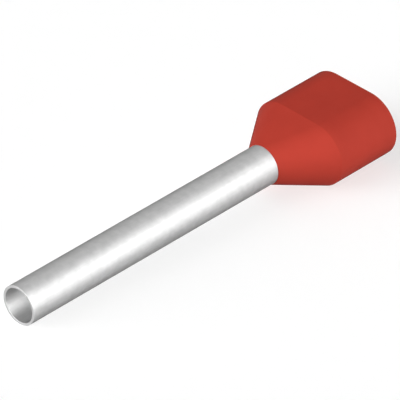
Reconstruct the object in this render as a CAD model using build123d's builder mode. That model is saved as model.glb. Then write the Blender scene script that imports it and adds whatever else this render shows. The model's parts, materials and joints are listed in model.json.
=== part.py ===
from build123d import *
from math import cos, radians, sin, tan
import os

# Twin wire-end ferrule: a thin drawn tube that is crimped on the strands of two
# wires, and an obround moulded collar that takes the ends of their insulation.
# Millimetres. The tube's axis is X, with its tip at -X and the collar's mouth at
# +X. Y is the collar's wide way and Z its narrow way. The origin is on the axis
# where the bare tube enters the collar.

# Contact sleeve
bore_diameter = 2.0
sleeve_wall = 0.15
sleeve_length = 18.0  # bare tube in front of the collar
tip_rounding = 0.04  # on both edges of the cut tip

# Flared inner end of the sleeve, which keeps it in the collar
neck_depth = 0.15  # straight tube inside the collar
flare_length = 1.35
flare_angle = 10.0
flare_bend = 0.8  # on the outside of the tube's wall

# Insulating collar, outside
neck_lip = 0.03  # plastic that stands proud of the tube at the neck
collar_width = 6.4
collar_height = 3.8
funnel_length = 2.8
body_length = 4.25
crease_rounding = 0.1
mouth_rounding = 0.05

# Insulating collar, inside
collar_wall = 0.38
inner_funnel_length = 1.7
inner_crease_rounding = 0.3
mouth_lead_in = 0.14

# Sizes that follow from those above
sleeve_inner_radius = bore_diameter / 2
sleeve_outer_radius = sleeve_inner_radius + sleeve_wall
rim_position = neck_depth + flare_length
neck_radius = sleeve_outer_radius + neck_lip
half_flat = (collar_width - collar_height) / 2
side_radius = collar_height / 2
chamber_radius = side_radius - collar_wall
chamber_start = rim_position + inner_funnel_length
collar_length = funnel_length + body_length


def flared_radius(radius, bend):
    """Radius at the rim of the wall face that runs straight at the given radius."""
    bend_rise = bend * (1 - cos(radians(flare_angle)))
    cone_length = flare_length - bend * sin(radians(flare_angle))
    return radius + bend_rise + cone_length * tan(radians(flare_angle))


def flared_core(radius, bend):
    """Solid inside one face of the sleeve's wall, from the tip to the flared rim."""
    with BuildPart() as core:
        with BuildSketch(Plane.XZ):
            with BuildLine():
                run = Line((-sleeve_length, radius), (neck_depth, radius))
                turn = JernArc(run @ 1, run % 1, bend, flare_angle)
                cone = Line(turn @ 1, (rim_position, flared_radius(radius, bend)))
                Polyline(cone @ 1, (rim_position, 0), (-sleeve_length, 0), run @ 0)
            make_face()
        revolve(axis=Axis.X)
    return core.part


def round_to_obround(start, end, start_radius, end_radius):
    """Solid that widens from a circle at start to an obround at end, both across X.

    Each side is half of a slanted cone. The wedge between them has its ridge
    upright in the circle, so its top and bottom are flat triangles that meet the
    cones with no edge.
    """
    with BuildPart() as funnel:
        for place, centre, radius in ((start, 0, start_radius), (end, half_flat, end_radius)):
            with BuildSketch(Plane.YZ.offset(place)):
                with BuildLine():
                    side = CenterArc((centre, 0), radius, -90, 180)
                    Line(side @ 1, side @ 0)
                make_face()
        loft(ruled=True)
        mirror(about=Plane.XZ)
        with Locations((end, 0, 0)):
            Wedge(
                xsize=2 * half_flat,
                ysize=end - start,
                zsize=2 * end_radius,
                xmin=half_flat,
                xmax=half_flat,
                zmin=end_radius - start_radius,
                zmax=end_radius + start_radius,
                rotation=(0, 0, 90),
                align=(Align.CENTER, Align.MIN, Align.CENTER),
            )
    return funnel.part


tube_form = flared_core(sleeve_outer_radius, flare_bend)
bore_form = flared_core(sleeve_inner_radius, flare_bend + sleeve_wall)
rim_inner_radius = flared_radius(sleeve_inner_radius, flare_bend + sleeve_wall)
outer_funnel = round_to_obround(0, funnel_length, neck_radius, side_radius)
inner_funnel = round_to_obround(
    rim_position, chamber_start, rim_inner_radius, chamber_radius
)

# Room for the insulated wires: the inner funnel that leads the strands into the
# flare, and the straight chamber from there to the mouth
with BuildPart() as wire_room:
    add(inner_funnel)
    with BuildSketch(Plane.YZ.offset(chamber_start)):
        SlotCenterToCenter(2 * half_flat, 2 * chamber_radius)
    extrude(amount=collar_length - chamber_start)
    inner_crease = wire_room.edges().filter_by_position(Axis.X, chamber_start, chamber_start)
    fillet(inner_crease, inner_crease_rounding)

# Tinned copper tube, cut square at the tip and flared at its inner end
with BuildPart() as contact_sleeve:
    add(tube_form)
    add(bore_form, mode=Mode.SUBTRACT)
    fillet(contact_sleeve.edges().group_by(Axis.X)[0], tip_rounding)

# Moulded collar, whose neck and seat are cut by the sleeve's own outer form
with BuildPart() as insulating_collar:
    add(outer_funnel)
    with BuildSketch(Plane.YZ.offset(funnel_length)):
        SlotOverall(collar_width, collar_height)
    extrude(amount=body_length)
    crease = insulating_collar.edges().filter_by_position(
        Axis.X, funnel_length, funnel_length
    )
    fillet(crease, crease_rounding)
    fillet(insulating_collar.faces().sort_by(Axis.X)[-1].edges(), mouth_rounding)
    add(tube_form, mode=Mode.SUBTRACT)
    add(wire_room.part, mode=Mode.SUBTRACT)
    mouth_face = insulating_collar.faces().sort_by(Axis.X)[-1]
    fillet(mouth_face.inner_wires().edges(), mouth_lead_in)

contact_sleeve.part.label = "contact_sleeve"
insulating_collar.part.label = "insulating_collar"

os.makedirs("parts", exist_ok=True)
export_step(contact_sleeve.part, "parts/contact_sleeve.step")
export_step(insulating_collar.part, "parts/insulating_collar.step")
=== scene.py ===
"""Finish and studio for a twin wire-end ferrule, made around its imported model.

The tinned sleeve and the red collar are each swept round the axis from one closed
outline. Everything is in metres: X runs along the sleeve from its tip to the
collar's mouth, Y goes across the collar's wide way and Z is up.
"""

import json
from math import atan2, cos, pi, radians, sin, tan

import bmesh
import bpy
from bpy.props import FloatProperty, FloatVectorProperty, IntProperty, PointerProperty
from mathutils import Matrix, Vector


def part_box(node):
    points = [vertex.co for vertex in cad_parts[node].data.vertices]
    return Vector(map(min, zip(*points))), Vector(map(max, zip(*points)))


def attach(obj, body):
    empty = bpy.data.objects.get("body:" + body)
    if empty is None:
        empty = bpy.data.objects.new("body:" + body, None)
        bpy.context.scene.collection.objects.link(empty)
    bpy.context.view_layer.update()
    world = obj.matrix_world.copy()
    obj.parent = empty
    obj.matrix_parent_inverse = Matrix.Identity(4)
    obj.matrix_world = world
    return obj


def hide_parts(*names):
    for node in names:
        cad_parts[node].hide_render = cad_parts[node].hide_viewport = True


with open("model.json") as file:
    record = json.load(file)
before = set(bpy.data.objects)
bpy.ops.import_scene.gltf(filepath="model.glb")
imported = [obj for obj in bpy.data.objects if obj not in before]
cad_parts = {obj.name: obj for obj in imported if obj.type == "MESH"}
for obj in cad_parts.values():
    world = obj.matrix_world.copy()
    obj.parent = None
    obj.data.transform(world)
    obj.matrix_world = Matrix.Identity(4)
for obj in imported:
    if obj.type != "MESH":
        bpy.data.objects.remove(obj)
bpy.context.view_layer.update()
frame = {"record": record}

bl_info = {
    "name": "Twin Wire Ferrule",
    "version": (1, 0, 0),
    "blender": (4, 5, 0),
    "location": "3D View > Sidebar > Ferrule",
    "description": "Tinned sleeve and moulded collar of a twin wire-end ferrule",
    "category": "Add Mesh",
}

MM = 0.001
SLEEVE_LOW, SLEEVE_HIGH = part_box("contact_sleeve")
COLLAR_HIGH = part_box("insulating_collar")[1]
SEAM_GAP = 1e-7  # metres, under which two points of a sweep are one
FLOOR_SIDES = 96
NEAR_CLIP = 0.1  # share of the camera's distance
PLASTIC_IOR = 1.49
GRAIN_RANGE = (0.3, 0.7)  # nearly all of a noise texture's values

# Cells per metre, along a piece and across it
DRAWN_GRAIN = {"Lengthwise": 140, "Crosswise": 9000, "Mottle Scale": 2500}
MOULDED_GRAIN = {"Lengthwise": 7000, "Crosswise": 7000, "Mottle Scale": 600}


def mount_radius(name):
    """Radius, in metres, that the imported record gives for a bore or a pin."""
    mount = next(m for m in frame["record"]["mounts"] if m["name"] == name)
    return mount["dims"]["r_mm"] * MM


def length(name, description, default):
    """A length that a user can change."""
    return FloatProperty(
        name=name, description=description, default=default, unit="LENGTH", precision=5
    )


def factor(name, description, default):
    """A share from 0 to 1 that a user can change."""
    return FloatProperty(
        name=name, description=description, default=default, min=0, max=1, subtype="FACTOR"
    )


def amount(name, description, default):
    """A plain number from 0 up that a user can change."""
    return FloatProperty(name=name, description=description, default=default, min=0)


def angle(name, description, degrees):
    """An angle that a user can change."""
    return FloatProperty(
        name=name, description=description, default=radians(degrees), subtype="ANGLE"
    )


def divisions(name, description, default):
    """A number of divisions that a user can change."""
    return IntProperty(name=name, description=description, default=default, min=1)


def aim(name, description, turn, rise):
    """Two angles that say where a lamp stands, from its turn and rise in degrees."""
    return FloatVectorProperty(
        name=name, description=description, default=(radians(turn), radians(rise)), size=2,
        unit="ROTATION",
    )


def colour(name, description, default):
    """A colour that a user can change."""
    return FloatVectorProperty(
        name=name, description=description, default=default, size=3, subtype="COLOR", min=0, max=1
    )


class SleeveSizes(bpy.types.PropertyGroup):
    """Sizes of the tinned sleeve."""

    tip: length("Tip", "Place of the cut tip along X", SLEEVE_LOW.x)
    rim: length("Rim", "Place of the flared rim along X", SLEEVE_HIGH.x)
    bore_radius: length("Bore radius", "Inside of the tube", mount_radius("conductor_bore"))
    outer_radius: length("Outer radius", "Outside of the tube", mount_radius("terminal_pin"))
    rim_radius: length("Rim radius", "Outside of the flared rim", SLEEVE_HIGH.z)
    flare_bend: length("Flare bend", "Outer radius of the bend into the flare", 0.8 * MM)
    tip_rounding: length("Tip rounding", "Rounding of both edges of the tip", 0.02 * MM)
    flare_angle: angle("Flare angle", "Slope of the flare", 10)


class CollarSizes(bpy.types.PropertyGroup):
    """Sizes of the moulded collar."""

    mouth: length("Mouth", "Place of the mouth along X", COLLAR_HIGH.x)
    half_width: length("Half width", "From the axis to a side", COLLAR_HIGH.y)
    side_radius: length("Side radius", "Half the height of the collar", COLLAR_HIGH.z)
    neck_radius: length("Neck radius", "Outside of the neck", 1.18 * MM)
    funnel_length: length("Funnel length", "From the neck to the crease", 2.8 * MM)
    crease_rounding: length("Crease rounding", "Rounding of the outer crease", 0.1 * MM)
    mouth_rounding: length("Mouth rounding", "Rounding of the mouth's outer edge", 0.05 * MM)
    wall: length("Wall", "Wall round the chamber", 0.38 * MM)
    inner_funnel_length: length("Inner funnel", "From the rim to the chamber", 1.7 * MM)
    inner_crease_rounding: length("Inner crease", "Rounding at the chamber's start", 0.3 * MM)
    mouth_lead_in: length("Lead-in", "Rounding of the mouth's inner edge", 0.14 * MM)


class SweepSteps(bpy.types.PropertyGroup):
    """How finely the two pieces are divided."""

    side_columns: divisions("Side columns", "Columns in each half circle", 72)
    flat_columns: divisions("Flat columns", "Columns across each flat", 16)
    rounding_steps: divisions("Rounding steps", "Straight steps in each rounding", 7)
    ring_spacing: length("Ring spacing", "Longest stretch between two rings", 0.45 * MM)
    sharp_angle: angle("Sharp angle", "Bend above which an edge stays sharp", 25)


class Finishes(bpy.types.PropertyGroup):
    """Colours, gloss and texture of the two pieces, and the floor's colour."""

    tin: colour("Tin", "Colour of the tin coating", (0.44, 0.44, 0.44))
    # Painted light: this factor raises the cut end's tone, for the light that falls on its face
    painted_light_end: amount("Cut end", "Brightness of the cut end against the rest", 1.18)
    # Painted shade: this dark tint darkens the tin where it is seen at a slant
    tin_slant_shade: colour("Tin edge", "Tint of the coating at a glancing view", (0.04, 0.04, 0.04))
    tin_roughness: factor("Tin roughness", "Mean roughness of the tin coating", 0.48)
    tin_unevenness: factor("Tin unevenness", "How far its roughness varies either way", 0.05)
    tin_mottle: factor("Tin mottle", "How far its tone varies either way", 0.06)
    bore_dullness: factor("Bore dullness", "Roughness that is added deep in the bore", 0.3)
    bore_fade: length("Bore fade", "Depth over which it is added from each end", 2.5 * MM)
    line_depth: length("Drawing lines", "Depth of the lines left by drawing", 0.0016 * MM)
    plastic: colour("Plastic", "Colour of the collar", (0.452, 0.0455, 0.029))
    # Painted shade: this tint darkens the collar where it is seen at a slant
    plastic_slant_shade: colour("Plastic skin", "Tint of the skin over the pigment", (0.93, 0.93, 0.93))
    plastic_gloss: factor("Plastic gloss", "Strength of the plastic's own reflection", 0.08)
    plastic_roughness: factor("Plastic roughness", "Mean roughness of the collar", 0.68)
    plastic_unevenness: factor("Plastic unevenness", "How far its roughness varies", 0.04)
    plastic_mottle: factor("Plastic mottle", "How far its tone varies either way", 0.04)
    texture_depth: length("Mould texture", "Depth of the texture of the mould", 0.0025 * MM)
    floor: colour("Floor", "Colour of the floor", (0.6, 0.6, 0.6))


class StudioSettings(bpy.types.PropertyGroup):
    """Camera and light."""

    view_turn: angle("Turn", "Camera's turn about Z", -45)
    view_rise: angle("Rise", "Camera's angle above the ferrule", 35.264)
    view_distance: length("Distance", "From the camera to the point it looks at", 289.5 * MM)
    view_point: FloatVectorProperty(
        name="View point", description="Point that the camera looks at",
        default=(-3.154 * MM, 1.611 * MM, -1.543 * MM), subtype="TRANSLATION", precision=5,
    )
    lens: FloatProperty(
        name="Lens", description="Focal length of the camera", default=486.7, unit="CAMERA"
    )
    floor_radius: length("Floor radius", "Radius of the round floor", 0.4)
    floor_glow: amount("Floor glow", "What brings the lit floor up to white where seen", 0.453)
    sky: amount("Sky", "Even light from all round", 0.05)
    lamp_spread: angle("Lamp spread", "Width of each lamp as seen from the ferrule", 64)
    tip_aim: aim("Tip lamp's place", "Turn about Z and rise of the lamp beyond the tip", -112, 17)
    tip_strength: amount("Tip lamp", "Strength of the lamp beyond the tip", 4.3)
    upper_aim: aim("Upper lamp's place", "Turn about Z and rise of the high side lamp", 16, 42)
    upper_strength: amount("Upper lamp", "Strength of the high side lamp", 1.6)
    side_aim: aim("Side lamp's place", "Turn about Z and rise of the low side lamp", 12, 12)
    side_strength: amount("Side lamp", "Strength of the low side lamp", 1.5)


def put(tree, kind, feeds=None, **settings):
    """A new node, with its settings, and each fed input's value or the socket it is linked to."""
    node = tree.nodes.new(kind)
    for name, value in settings.items():
        setattr(node, name, value)
    for key, value in (feeds or {}).items():
        if isinstance(value, bpy.types.NodeSocket):
            tree.links.new(value, node.inputs[key])
        else:
            node.inputs[key].default_value = value
    return node


def reckoned(tree, operation, *values, **settings):
    """What a maths node makes of the values."""
    feeds = dict(enumerate(values))
    return put(tree, "ShaderNodeMath", feeds, operation=operation, **settings).outputs[0]


def obround_sweep():
    """Tree that carries a closed outline round the axis.

    Each point of the outline holds its place along X, half the length of the section's
    flats and the radius of its sides. A section with no flats is a circle.
    """
    tree = bpy.data.node_groups.new("obround_sweep", "GeometryNodeTree")
    tree.is_modifier = True
    for name, kind in (
        ("Outline", "NodeSocketGeometry"),
        ("Side Columns", "NodeSocketInt"),
        ("Flat Columns", "NodeSocketInt"),
        ("Rounding Steps", "NodeSocketInt"),
        ("Ring Spacing", "NodeSocketFloat"),
        ("Sharp Angle", "NodeSocketFloat"),
        ("Finish", "NodeSocketMaterial"),
    ):
        tree.interface.new_socket(name, in_out="INPUT", socket_type=kind)
    tree.interface.new_socket("Piece", in_out="OUTPUT", socket_type="NodeSocketGeometry")
    given = put(tree, "NodeGroupInput").outputs
    index = put(tree, "GeometryNodeInputIndex").outputs[0]
    position = put(tree, "GeometryNodeInputPosition").outputs[0]

    def math(operation, *values):
        return reckoned(tree, operation, *values)

    def whole(operation, *values):
        feeds = dict(enumerate(values))
        return put(tree, "FunctionNodeIntegerMath", feeds, operation=operation).outputs[0]

    def vector(operation, *values):
        node = put(tree, "ShaderNodeVectorMath", dict(enumerate(values)), operation=operation)
        return node.outputs["Value" if operation == "DISTANCE" else "Vector"]

    def ramp(value, start, end, low, high):
        feeds = {"Value": value, "From Min": start, "From Max": end, "To Min": low, "To Max": high}
        return put(tree, "ShaderNodeMapRange", feeds, clamp=True).outputs[0]

    def point_count(curve):
        return put(
            tree, "GeometryNodeAttributeDomainSize", {"Geometry": curve}, component="CURVE"
        ).outputs["Point Count"]

    def point_of(curve, number):
        feeds = {"Geometry": curve, "Value": position, "Index": number}
        node = put(
            tree, "GeometryNodeSampleIndex", feeds, data_type="FLOAT_VECTOR", domain="POINT"
        )
        return node.outputs[0]

    # Outline with rounded corners, cut where two of its points lie far apart
    loop = put(tree, "GeometryNodeMeshToCurve", {"Mesh": given["Outline"]}).outputs[0]
    rounding = put(
        tree, "GeometryNodeInputNamedAttribute", {"Name": "rounding"}, data_type="FLOAT"
    ).outputs[0]
    rounded = put(
        tree,
        "GeometryNodeFilletCurve",
        {"Curve": loop, "Count": given["Rounding Steps"], "Radius": rounding},
        mode="POLY",
    ).outputs[0]
    following = point_of(rounded, whole("MODULO", whole("ADD", index, 1), point_count(rounded)))
    stretch = vector("DISTANCE", position, following)
    cuts = math("FLOOR", math("DIVIDE", stretch, given["Ring Spacing"]))
    outline = put(tree, "GeometryNodeSubdivideCurve", {"Curve": rounded, "Cuts": cuts}).outputs[0]

    # Grid with one row for each point of the outline and one column for each place round
    # the axis, whose last row and column lie on the first
    half_turn = whole("ADD", given["Side Columns"], given["Flat Columns"])
    full_turn = whole("MULTIPLY", half_turn, 2)
    column_points = whole("ADD", full_turn, 1)
    ring_points = whole("ADD", point_count(outline), 1)
    grid = put(
        tree, "GeometryNodeMeshGrid", {"Vertices X": ring_points, "Vertices Y": column_points}
    ).outputs["Mesh"]
    ring = whole("DIVIDE_FLOOR", index, column_points)
    column = whole("MODULO", index, column_points)

    # The columns go up the +Y side, along the top, down the -Y side and back along the
    # bottom. Share says where a column's centre lies along the flats, from -1 to 1.
    corner = put(
        tree,
        "ShaderNodeSeparateXYZ",
        {0: point_of(outline, whole("MODULO", ring, point_count(outline)))},
    ).outputs
    bottom_start = whole("ADD", half_turn, given["Side Columns"])
    turn = math(
        "ADD",
        ramp(column, 0, given["Side Columns"], -pi / 2, pi / 2),
        ramp(column, half_turn, bottom_start, 0, pi),
    )
    share = math(
        "ADD",
        ramp(column, given["Side Columns"], half_turn, 1, -1),
        ramp(column, bottom_start, full_turn, 0, 2),
    )
    flat_reach = math("MULTIPLY", corner["Y"], share)
    across = math("MULTIPLY_ADD", corner["Z"], math("COSINE", turn), flat_reach)
    up = math("MULTIPLY", corner["Z"], math("SINE", turn))
    place = put(tree, "ShaderNodeCombineXYZ", {"X": corner["X"], "Y": across, "Z": up}).outputs[0]

    # Closed surface, smooth but for its sharp edges
    swept = put(tree, "GeometryNodeSetPosition", {"Geometry": grid, "Position": place}).outputs[0]
    closed = put(
        tree, "GeometryNodeMergeByDistance", {"Geometry": swept, "Distance": SEAM_GAP}
    ).outputs[0]
    bend = put(tree, "GeometryNodeInputMeshEdgeAngle").outputs["Unsigned Angle"]
    smooth = put(
        tree,
        "GeometryNodeSetShadeSmooth",
        {"Geometry": closed, "Shade Smooth": True},
        domain="FACE",
    ).outputs[0]
    sharp = put(
        tree,
        "GeometryNodeSetShadeSmooth",
        {
            "Geometry": smooth,
            "Selection": math("GREATER_THAN", bend, given["Sharp Angle"]),
            "Shade Smooth": False,
        },
        domain="EDGE",
    ).outputs[0]
    real = put(tree, "GeometryNodeRealizeInstances", {"Geometry": sharp}).outputs[0]
    finished = put(
        tree, "GeometryNodeSetMaterial", {"Geometry": real, "Material": given["Finish"]}
    ).outputs[0]
    put(tree, "NodeGroupOutput", {"Piece": finished})
    return tree


def outline_mesh(name, corners):
    """Closed loop of edges through the corners, each with the radius it is rounded by."""
    mesh = bpy.data.meshes.new(name)
    count = len(corners)
    edges = [(i, (i + 1) % count) for i in range(count)]
    mesh.from_pydata([corner[:3] for corner in corners], edges, [])
    rounding = mesh.attributes.new("rounding", "FLOAT", "POINT")
    rounding.data.foreach_set("value", [corner[3] for corner in corners])
    return mesh


def sweep_piece(name, corners, finish):
    """Object at the origin, whose mesh is the outline carried round the axis."""
    steps = bpy.context.scene.ferrule_steps
    piece = bpy.data.objects.new(name, outline_mesh(name + "_outline", corners))
    bpy.context.scene.collection.objects.link(piece)
    modifier = piece.modifiers.new("sweep", "NODES")
    modifier.node_group = bpy.data.node_groups.get("obround_sweep") or obround_sweep()
    values = {
        "Side Columns": steps.side_columns,
        "Flat Columns": steps.flat_columns,
        "Rounding Steps": steps.rounding_steps,
        "Ring Spacing": steps.ring_spacing,
        "Sharp Angle": steps.sharp_angle,
        "Finish": finish,
    }
    for socket in modifier.node_group.interface.items_tree:
        if socket.name in values:
            modifier[socket.identifier] = values[socket.name]
    graph = bpy.context.evaluated_depsgraph_get()
    mesh = bpy.data.meshes.new_from_object(piece.evaluated_get(graph), depsgraph=graph)
    piece.modifiers.remove(modifier)
    mesh.materials.pop(index=0)  # the grid's own empty slot
    mesh.name = name
    piece.data = mesh
    return piece


def bend_place(sleeve, radius, rim_radius):
    """Where a wall that runs at the radius turns, to meet the rim at the flare's slope."""
    return sleeve.rim - (rim_radius - radius) / tan(sleeve.flare_angle)


def rim_inside_radius(sleeve):
    """Inside of the flared rim, whose wall is as thick as the tube's."""
    wall = sleeve.outer_radius - sleeve.bore_radius
    return sleeve.rim_radius - wall / cos(sleeve.flare_angle)


def sleeve_outline(sleeve):
    """Corners of the sleeve's wall: along X, no flats, radius, rounding."""
    wall = sleeve.outer_radius - sleeve.bore_radius
    rim_inside = rim_inside_radius(sleeve)
    outer_bend = bend_place(sleeve, sleeve.outer_radius, sleeve.rim_radius)
    inner_bend = bend_place(sleeve, sleeve.bore_radius, rim_inside)
    return [
        (sleeve.rim, 0, sleeve.rim_radius, 0),
        (outer_bend, 0, sleeve.outer_radius, sleeve.flare_bend),
        (sleeve.tip, 0, sleeve.outer_radius, sleeve.tip_rounding),
        (sleeve.tip, 0, sleeve.bore_radius, sleeve.tip_rounding),
        (inner_bend, 0, sleeve.bore_radius, sleeve.flare_bend + wall),
        (sleeve.rim, 0, rim_inside, 0),
    ]


def collar_outline(collar, sleeve):
    """Corners of the collar's wall: along X, half flat, side radius, rounding."""
    half_flat = collar.half_width - collar.side_radius
    chamber = collar.side_radius - collar.wall
    chamber_start = sleeve.rim + collar.inner_funnel_length
    seat_bend = bend_place(sleeve, sleeve.outer_radius, sleeve.rim_radius)
    return [
        (collar.mouth, half_flat, collar.side_radius, collar.mouth_rounding),
        (collar.funnel_length, half_flat, collar.side_radius, collar.crease_rounding),
        (0, 0, collar.neck_radius, 0),
        (0, 0, sleeve.outer_radius, 0),
        (seat_bend, 0, sleeve.outer_radius, sleeve.flare_bend),
        (sleeve.rim, 0, sleeve.rim_radius, 0),
        (sleeve.rim, 0, rim_inside_radius(sleeve), 0),
        (chamber_start, half_flat, chamber, collar.inner_crease_rounding),
        (collar.mouth, half_flat, chamber, collar.mouth_lead_in),
    ]


def surface_grain():
    """Shader group: fine height and broad mottle that follow the piece's own length."""
    tree = bpy.data.node_groups.new("surface_grain", "ShaderNodeTree")
    for name in ("Lengthwise", "Crosswise", "Mottle Scale"):
        tree.interface.new_socket(name, in_out="INPUT", socket_type="NodeSocketFloat")
    for name in ("Height", "Mottle"):
        tree.interface.new_socket(name, in_out="OUTPUT", socket_type="NodeSocketFloat")
    given = put(tree, "NodeGroupInput").outputs
    place = put(tree, "ShaderNodeTexCoord").outputs["Object"]
    scale = put(
        tree,
        "ShaderNodeCombineXYZ",
        {"X": given["Lengthwise"], "Y": given["Crosswise"], "Z": given["Crosswise"]},
    ).outputs[0]
    stretched = put(
        tree, "ShaderNodeVectorMath", {0: place, 1: scale}, operation="MULTIPLY"
    ).outputs[0]
    fine = put(tree, "ShaderNodeTexNoise", {"Vector": stretched, "Scale": 1, "Detail": 2})
    broad = put(
        tree, "ShaderNodeTexNoise", {"Vector": place, "Scale": given["Mottle Scale"], "Detail": 3}
    )
    put(
        tree,
        "NodeGroupOutput",
        {"Height": fine.outputs["Fac"], "Mottle": broad.outputs["Fac"]},
    )
    return tree


def placed_grain(tree, scales):
    """The shared grain's outputs, placed in a material with its own scales."""
    group = bpy.data.node_groups.get("surface_grain") or surface_grain()
    return put(tree, "ShaderNodeGroup", scales, node_tree=group).outputs


def shaded(tree, tone, mask, spread):
    """A colour that varies with the mask, by a share of the tone either way."""
    ramp = put(tree, "ShaderNodeValToRGB", {"Fac": mask})
    for stop, place, share in zip(ramp.color_ramp.elements, GRAIN_RANGE, (1 - spread, 1 + spread)):
        stop.position = place
        stop.color = (*(channel * share for channel in tone), 1)
    return ramp.outputs["Color"]


def varied(tree, mean, mask, spread):
    """A value that varies with the mask, by the spread either way."""
    feeds = {"Value": mask, "From Min": GRAIN_RANGE[0], "From Max": GRAIN_RANGE[1]}
    feeds.update({"To Min": mean - spread, "To Max": mean + spread})
    return put(tree, "ShaderNodeMapRange", feeds, clamp=True).outputs[0]


def relief(tree, height, depth):
    """Normals of a surface whose height varies by a depth."""
    feeds = {"Strength": 1, "Distance": depth, "Height": height}
    return put(tree, "ShaderNodeBump", feeds).outputs[0]


def new_material(name):
    """Empty node material, with its tree and its output's surface socket."""
    material = bpy.data.materials.new(name)
    material.use_nodes = True
    tree = material.node_tree
    tree.nodes.clear()
    surface = put(tree, "ShaderNodeOutputMaterial").inputs["Surface"]
    return material, tree, surface


def bore_depth(tree, place, along):
    """Depth in the bore, from 0 at its two ends and outside it to 1 where the tin is dullest."""
    finish = bpy.context.scene.ferrule_finishes
    sleeve = bpy.context.scene.ferrule_sleeve
    outward = put(
        tree, "ShaderNodeVectorMath", {0: place, 1: (0, 1, 1)}, operation="MULTIPLY"
    ).outputs[0]
    normal = put(tree, "ShaderNodeTexCoord").outputs["Normal"]
    facing = put(
        tree, "ShaderNodeVectorMath", {0: outward, 1: normal}, operation="DOT_PRODUCT"
    ).outputs["Value"]
    # The bore's wall faces the axis
    inside = reckoned(tree, "LESS_THAN", facing, 0)
    from_tip = reckoned(tree, "SUBTRACT", along, sleeve.tip)
    from_rim = reckoned(tree, "SUBTRACT", sleeve.rim, along)
    from_end = reckoned(tree, "MINIMUM", from_tip, from_rim)
    feeds = {"Value": from_end, "From Min": 0, "From Max": finish.bore_fade, "To Max": inside}
    return put(tree, "ShaderNodeMapRange", feeds, clamp=True).outputs[0]


def drawn_tin():
    """Tin over drawn copper: faint lines along the tube, a soft mottle and painted light on the cut
    end.

    In the bore it is thinner with depth, and so duller.
    """
    finish = bpy.context.scene.ferrule_finishes
    sleeve = bpy.context.scene.ferrule_sleeve
    material, tree, surface = new_material("drawn_tin")
    grain = placed_grain(tree, DRAWN_GRAIN)
    place = put(tree, "ShaderNodeTexCoord").outputs["Object"]
    along = put(tree, "ShaderNodeSeparateXYZ", {0: place}).outputs["X"]
    # Painted light: the tone of the cut end and its rounding is raised, as if more light fell there
    painted_light_end = reckoned(tree, "LESS_THAN", along, sleeve.tip + sleeve.tip_rounding)
    painted_light_factor = put(
        tree, "ShaderNodeMapRange", {"Value": painted_light_end, "To Min": 1, "To Max": finish.painted_light_end}
    ).outputs[0]
    tone = put(
        tree,
        "ShaderNodeVectorMath",
        {0: shaded(tree, finish.tin, grain["Mottle"], finish.tin_mottle), "Scale": painted_light_factor},
        operation="SCALE",
    ).outputs[0]
    outside = varied(tree, finish.tin_roughness, grain["Height"], finish.tin_unevenness)
    depth = bore_depth(tree, place, along)
    roughness = reckoned(tree, "MULTIPLY_ADD", depth, finish.bore_dullness, outside)
    shader = put(
        tree,
        "ShaderNodeBsdfPrincipled",
        {
            "Base Color": tone,
            "Metallic": 1,
            "Roughness": roughness,
            # Painted shade: the dark edge tint darkens the tube towards its outline
            "Specular Tint": (*finish.tin_slant_shade, 1),
            "Normal": relief(tree, grain["Height"], finish.line_depth),
        },
    )
    tree.links.new(shader.outputs[0], surface)
    return material


def moulded_red():
    """Satin red plastic with the fine texture of an eroded mould.

    A tint in a coat of IOR 1, which reflects nothing, darkens the pigment where it is seen at a
    slant: painted shade at the collar's outline.
    """
    finish = bpy.context.scene.ferrule_finishes
    material, tree, surface = new_material("moulded_red")
    grain = placed_grain(tree, MOULDED_GRAIN)
    roughness = varied(tree, finish.plastic_roughness, grain["Height"], finish.plastic_unevenness)
    shader = put(
        tree,
        "ShaderNodeBsdfPrincipled",
        {
            "Base Color": shaded(tree, finish.plastic, grain["Mottle"], finish.plastic_mottle),
            "Roughness": roughness,
            "IOR": PLASTIC_IOR,
            "Specular IOR Level": finish.plastic_gloss,
            # Painted shade: the coat only tints, darkening the red towards the outline
            "Coat Weight": 1,
            "Coat IOR": 1,
            "Coat Roughness": finish.plastic_roughness,
            "Coat Tint": (*finish.plastic_slant_shade, 1),
            "Normal": relief(tree, grain["Height"], finish.texture_depth),
        },
    )
    tree.links.new(shader.outputs[0], surface)
    return material


class FERRULE_OT_sleeve(bpy.types.Operator):
    """Add the tinned sleeve, from its rounded tip to its flared rim"""

    bl_idname = "ferrule.add_sleeve"
    bl_label = "Add Sleeve"

    def execute(self, context):
        outline = sleeve_outline(context.scene.ferrule_sleeve)
        sleeve = sweep_piece("tinned_sleeve", outline, drawn_tin())
        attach(sleeve, "root")
        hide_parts("contact_sleeve")
        return {"FINISHED"}


class FERRULE_OT_collar(bpy.types.Operator):
    """Add the moulded collar, from its round neck to its obround mouth"""

    bl_idname = "ferrule.add_collar"
    bl_label = "Add Collar"

    def execute(self, context):
        outline = collar_outline(context.scene.ferrule_collar, context.scene.ferrule_sleeve)
        collar = sweep_piece("moulded_collar", outline, moulded_red())
        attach(collar, "root")
        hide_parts("insulating_collar")
        return {"FINISHED"}


def seen_directly(tree):
    """1 for camera, glossy and transmission rays, 0 for the rest."""
    rays = put(tree, "ShaderNodeLightPath").outputs
    mirrored = reckoned(tree, "ADD", rays["Is Camera Ray"], rays["Is Glossy Ray"])
    return reckoned(tree, "ADD", mirrored, rays["Is Transmission Ray"], use_clamp=True)


def floor_material():
    """Pale floor that looks white where it is lit and keeps a soft shadow."""
    finish = bpy.context.scene.ferrule_finishes
    material, tree, surface = new_material("pale_floor")
    matte = put(tree, "ShaderNodeBsdfDiffuse", {"Color": (*finish.floor, 1)})
    glow_strength = bpy.context.scene.ferrule_studio.floor_glow
    strength = reckoned(tree, "MULTIPLY", seen_directly(tree), glow_strength)
    glow = put(tree, "ShaderNodeEmission", {"Strength": strength})
    both = put(tree, "ShaderNodeAddShader", {0: matte.outputs[0], 1: glow.outputs[0]})
    tree.links.new(both.outputs[0], surface)
    return material


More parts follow.
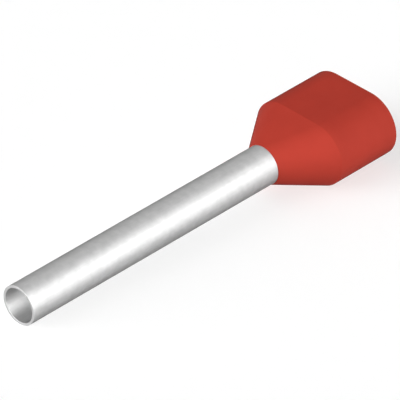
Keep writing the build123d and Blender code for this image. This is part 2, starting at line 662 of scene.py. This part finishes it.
def resting_plane(sleeve, collar):
    """Turn about Y and a point of the floor that touches the collar and the sleeve's tip."""
    drop = collar.side_radius - sleeve.outer_radius
    reach = collar.funnel_length - sleeve.tip
    contact = Vector((collar.funnel_length, 0, -collar.side_radius))
    return atan2(drop, reach), contact


def add_floor():
    """Round floor under the ferrule, leaning so that both of its low points touch."""
    scene = bpy.context.scene
    lean, contact = resting_plane(scene.ferrule_sleeve, scene.ferrule_collar)
    radius = scene.ferrule_studio.floor_radius
    form = bmesh.new()
    bmesh.ops.create_circle(form, cap_ends=True, segments=FLOOR_SIDES, radius=radius)
    mesh = bpy.data.meshes.new("floor")
    form.to_mesh(mesh)
    form.free()
    mesh.transform(Matrix.Translation(contact) @ Matrix.Rotation(lean, 4, "Y"))
    mesh.materials.append(floor_material())
    floor = bpy.data.objects.new("floor", mesh)
    scene.collection.objects.link(floor)


def add_sky():
    """Even light from all round, white where it is seen."""
    world = bpy.data.worlds.new("studio")
    bpy.context.scene.world = world
    world.use_nodes = True
    tree = world.node_tree
    tree.nodes.clear()
    strength = put(
        tree,
        "ShaderNodeMapRange",
        {"Value": seen_directly(tree), "To Min": bpy.context.scene.ferrule_studio.sky, "To Max": 1},
    ).outputs[0]
    background = put(tree, "ShaderNodeBackground", {"Color": (1, 1, 1, 1), "Strength": strength})
    put(tree, "ShaderNodeOutputWorld", {"Surface": background.outputs[0]})


def direction(turn, rise):
    """Unit vector towards a turn about Z, from -Y towards +X, and a rise above level."""
    return Vector((sin(turn) * cos(rise), -cos(turn) * cos(rise), sin(rise)))


def add_lamp(name, place, energy, shadow=True):
    """Distant soft lamp at a turn and rise. One that throws no shadow lights the bore too."""
    light = bpy.data.lights.new(name, "SUN")
    light.energy = energy
    light.angle = bpy.context.scene.ferrule_studio.lamp_spread
    light.use_shadow = shadow
    light.cycles.use_multiple_importance_sampling = shadow
    lamp = bpy.data.objects.new(name, light)
    lamp.visible_camera = False
    lamp.rotation_mode = "QUATERNION"
    lamp.rotation_quaternion = direction(*place).to_track_quat("Z", "Y")
    bpy.context.scene.collection.objects.link(lamp)


def add_camera():
    """Camera at the photograph's angle."""
    studio = bpy.context.scene.ferrule_studio
    data = bpy.data.cameras.new("camera")
    data.lens = studio.lens
    data.clip_start = NEAR_CLIP * studio.view_distance
    camera = bpy.data.objects.new("camera", data)
    towards = direction(studio.view_turn, studio.view_rise)
    camera.location = Vector(studio.view_point) + towards * studio.view_distance
    camera.rotation_mode = "QUATERNION"
    camera.rotation_quaternion = towards.to_track_quat("Z", "Y")
    bpy.context.scene.collection.objects.link(camera)
    bpy.context.scene.camera = camera


class FERRULE_OT_stage(bpy.types.Operator):
    """Add the pale floor, the soft light and the camera"""

    bl_idname = "ferrule.set_stage"
    bl_label = "Set Stage"

    def execute(self, context):
        context.scene.view_settings.view_transform = "Standard"
        add_floor()
        add_sky()
        studio = context.scene.ferrule_studio
        add_lamp("tip_lamp", studio.tip_aim, studio.tip_strength)
        add_lamp("upper_lamp", studio.upper_aim, studio.upper_strength, shadow=False)
        add_lamp("side_lamp", studio.side_aim, studio.side_strength, shadow=False)
        add_camera()
        return {"FINISHED"}


class FERRULE_PT_panel(bpy.types.Panel):
    """Lists the operators with the sizes, finishes and studio settings that they use"""

    bl_label = "Twin Wire Ferrule"
    bl_space_type = "VIEW_3D"
    bl_region_type = "UI"
    bl_category = "Ferrule"

    def draw(self, context):
        scene = context.scene
        for operator, *groups in (
            (FERRULE_OT_sleeve, scene.ferrule_sleeve),
            (FERRULE_OT_collar, scene.ferrule_collar, scene.ferrule_steps, scene.ferrule_finishes),
            (FERRULE_OT_stage, scene.ferrule_studio),
        ):
            self.layout.operator(operator.bl_idname)
            for settings in groups:
                for name in settings.__annotations__:
                    self.layout.prop(settings, name)


SETTINGS = {
    "ferrule_sleeve": SleeveSizes,
    "ferrule_collar": CollarSizes,
    "ferrule_steps": SweepSteps,
    "ferrule_finishes": Finishes,
    "ferrule_studio": StudioSettings,
}
CLASSES = (
    *SETTINGS.values(),
    FERRULE_OT_sleeve,
    FERRULE_OT_collar,
    FERRULE_OT_stage,
    FERRULE_PT_panel,
)


def register():
    for cls in CLASSES:
        bpy.utils.register_class(cls)
    for name, group in SETTINGS.items():
        setattr(bpy.types.Scene, name, PointerProperty(type=group))


def unregister():
    for name in SETTINGS:
        delattr(bpy.types.Scene, name)
    for cls in reversed(CLASSES):
        bpy.utils.unregister_class(cls)


def main():
    """Build the pieces and the stage."""
    register()
    bpy.ops.ferrule.add_sleeve()
    bpy.ops.ferrule.add_collar()
    bpy.ops.ferrule.set_stage()


if __name__ == "__main__":
    main()
